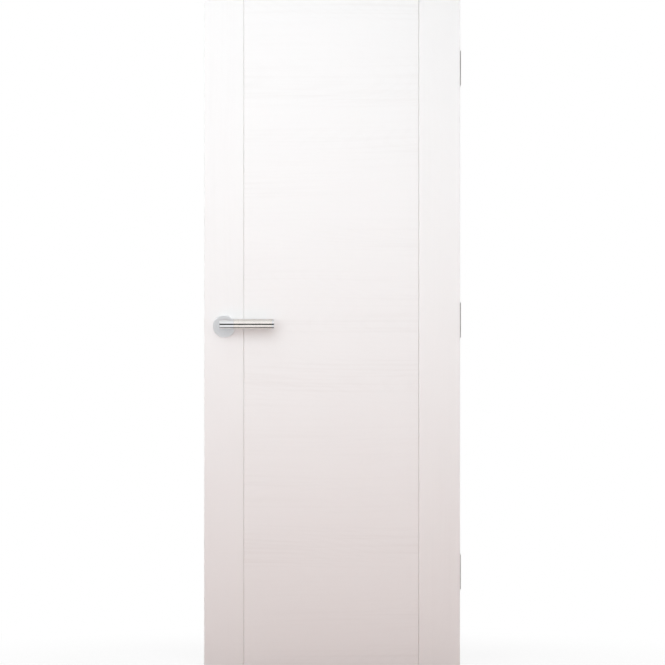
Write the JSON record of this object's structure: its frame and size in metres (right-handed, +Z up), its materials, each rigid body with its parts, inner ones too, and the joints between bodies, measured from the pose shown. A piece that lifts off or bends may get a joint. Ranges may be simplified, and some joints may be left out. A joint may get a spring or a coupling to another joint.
{
  "type": "fire door",
  "caption": "White painted timber fire door leaf with vertical V-grooves, lever handles on round roses, flush latch, edge fire seals and butt hinges.",
  "frame": {"origin": "centre of the bottom hinge's jamb plate, on the face that lies on the jamb", "axes": "+X towards the jamb on the hinge side, +Y from the pictured face to the knuckle side, +Z up"},
  "size_m": [0.765, 0.174, 1.981],
  "materials": {
    "white_paint": "satin white paint over wood grain",
    "softwood": "bare planed softwood",
    "core": "solid core board",
    "seal_strip": "white plastic fire seal",
    "hinge_steel": "satin stainless steel",
    "latch_steel": "satin nickel plated steel",
    "rose_chrome": "satin chrome",
    "polished_chrome": "polished chrome",
    "satin_nickel": "satin nickel"
  },
  "bodies": {
    "jamb_hinge_plates": {"bottom_hinge_jamb_plate": "hinge_steel", "bottom_hinge_pin": "hinge_steel", "bottom_hinge_bearings": "hinge_steel", "middle_hinge_jamb_plate": "hinge_steel", "middle_hinge_pin": "hinge_steel", "middle_hinge_bearings": "hinge_steel", "top_hinge_jamb_plate": "hinge_steel", "top_hinge_pin": "hinge_steel", "top_hinge_bearings": "hinge_steel"},
    "door_leaf": {"core_board": "core", "latch_stile": "softwood", "hinge_stile": "softwood", "top_rail": "softwood", "bottom_rail": "softwood", "latch_lipping": "white_paint", "hinge_lipping": "white_paint", "front_latch_side_facing": "white_paint", "front_centre_facing": "white_paint", "front_hinge_side_facing": "white_paint", "back_latch_side_facing": "white_paint", "back_centre_facing": "white_paint", "back_hinge_side_facing": "white_paint", "latch_edge_seal": "seal_strip", "hinge_edge_seal": "seal_strip", "top_edge_seal": "seal_strip", "latch_forend": "latch_steel", "latch_bolt": "latch_steel", "latch_case": "latch_steel", "front_rose": "rose_chrome", "back_rose": "rose_chrome", "bottom_hinge_door_plate": "hinge_steel", "middle_hinge_door_plate": "hinge_steel", "top_hinge_door_plate": "hinge_steel"},
    "lever_set": {"spindle": "latch_steel", "front_lever_shank": "polished_chrome", "front_lever_collar": "satin_nickel", "front_lever_grip": "satin_nickel", "front_lever_end_cap": "polished_chrome", "back_lever_shank": "polished_chrome", "back_lever_collar": "satin_nickel", "back_lever_grip": "satin_nickel", "back_lever_end_cap": "polished_chrome"}
  },
  "joints": [
    {"name": "door_swing", "type": "hinge", "parent": "jamb_hinge_plates", "child": "door_leaf", "pos_m": [-0.006, 0.03, 0], "axis": [0, 0, -1], "range_deg": [0, 170]},
    {"name": "lever_turn", "type": "hinge", "parent": "door_leaf", "child": "lever_set", "pos_m": [-0.705, 0, 0.733], "axis": [0, 1, 0], "range_deg": [0, 45], "stiffness_Nm_per_rad": 1.5, "springref_deg": -68.75}
  ]
}
